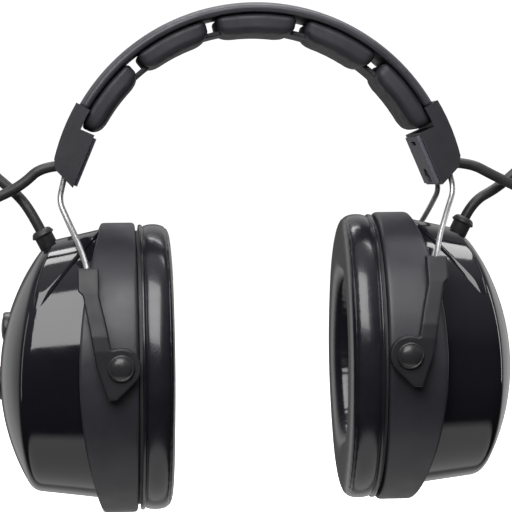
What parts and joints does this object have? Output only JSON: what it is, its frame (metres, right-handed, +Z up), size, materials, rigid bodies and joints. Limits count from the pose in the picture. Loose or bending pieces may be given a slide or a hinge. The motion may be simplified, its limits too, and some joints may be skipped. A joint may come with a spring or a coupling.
{
  "type": "earmuff hearing protector",
  "caption": "Over-the-head electronic earmuff: sprung headband with segmented liner, two wire-hung tilting cups with cushions, outer shells and interconnect cable loops.",
  "frame": {"origin": "middle of the crown pad's underside, where the band rests on the top of a head", "axes": "+Z up, +X towards the cup that holds the batteries, +Y towards the back, away from the view that shows the cups at left and right"},
  "size_m": [0.2681, 0.1002, 0.1849],
  "materials": {
    "band_rubber": "matte",
    "liner_rubber": "satin",
    "spring_steel": "brushed",
    "cap_plastic": "matte",
    "cap_gloss": "gloss",
    "cable_rubber": "matte",
    "arm_plastic": "matte",
    "pin_plastic": "satin",
    "shell_gloss": "gloss",
    "button_rubber": "satin",
    "cushion_vinyl": "soft vinyl",
    "inner_plastic": "matte",
    "foam": "open-cell foam",
    "speaker_metal": "satin",
    "board_green": "solder mask",
    "cell_wrap": "gloss wrap",
    "contact_metal": "nickel plate"
  },
  "bodies": {
    "headband": {"band_cover": "band_rubber", "band_spring": "spring_steel", "comfort_liner": "liner_rubber", "band_lead": "cable_rubber", "spring_rivets": "spring_steel", "end_cap_left": "cap_plastic", "end_cap_right": "cap_plastic", "cap_plate_left": "cap_gloss", "cap_plate_right": "cap_gloss", "left_cable_loop": "cable_rubber", "right_cable_loop": "cable_rubber"},
    "left_yoke": {"left_wire_front": "spring_steel", "left_wire_rear": "spring_steel", "left_arm_front": "arm_plastic", "left_arm_rear": "arm_plastic"},
    "left_cup": {"left_mounting_ring": "arm_plastic", "left_shell": "shell_gloss", "left_cushion": "cushion_vinyl", "left_cushion_plate": "inner_plastic", "left_foam_liner": "foam", "left_baffle": "inner_plastic", "left_speaker": "speaker_metal", "left_top_cover": "shell_gloss", "left_cable_grommet": "cable_rubber", "left_pivot_pins": "pin_plastic", "circuit_board": "board_green"},
    "right_yoke": {"right_wire_front": "spring_steel", "right_wire_rear": "spring_steel", "right_arm_front": "arm_plastic", "right_arm_rear": "arm_plastic"},
    "right_cup": {"right_mounting_ring": "arm_plastic", "right_shell": "shell_gloss", "right_cushion": "cushion_vinyl", "right_cushion_plate": "inner_plastic", "right_foam_liner": "foam", "right_baffle": "inner_plastic", "right_speaker": "speaker_metal", "right_top_cover": "shell_gloss", "right_cable_grommet": "cable_rubber", "right_pivot_pins": "pin_plastic", "battery_cradle": "inner_plastic", "batteries": "cell_wrap", "battery_contacts": "contact_metal", "lid_hinge_pin": "spring_steel"},
    "upper_button": {"upper_button": "button_rubber"},
    "lower_button": {"lower_button": "button_rubber"},
    "battery_lid": {"battery_lid": "shell_gloss"}
  },
  "joints": [
    {"name": "left_height_slide", "type": "slide", "parent": "headband", "child": "left_yoke", "axis": [-0.225, 0, -0.9744], "range_m": [-0.005, 0.01], "deforming": ["left_cable_loop"]},
    {"name": "left_cup_tilt", "type": "hinge", "parent": "left_yoke", "child": "left_cup", "pos_m": [-0.05067, 0, -0.11682], "axis": [0, 1, 0], "range_deg": [-12, 12], "deforming": ["left_cable_loop"]},
    {"name": "right_height_slide", "type": "slide", "parent": "headband", "child": "right_yoke", "axis": [0.225, 0, -0.9744], "range_m": [-0.002, 0.013], "deforming": ["right_cable_loop"]},
    {"name": "right_cup_tilt", "type": "hinge", "parent": "right_yoke", "child": "right_cup", "pos_m": [0.05, 0, -0.1139], "axis": [0, 1, 0], "range_deg": [-12, 12], "deforming": ["right_cable_loop"]},
    {"name": "upper_button_press", "type": "slide", "parent": "left_cup", "child": "upper_button", "axis": [1, 0, 0], "range_m": [0, 0.001], "stiffness_N_per_m": 1500, "springref_m": -0.0005},
    {"name": "lower_button_press", "type": "slide", "parent": "left_cup", "child": "lower_button", "axis": [1, 0, 0], "range_m": [0, 0.001], "stiffness_N_per_m": 1500, "springref_m": -0.0005},
    {"name": "battery_lid_hinge", "type": "hinge", "parent": "right_cup", "child": "battery_lid", "pos_m": [0.0886, 0, -0.1436], "axis": [0, 1, 0], "range_deg": [0, 70]}
  ]
}
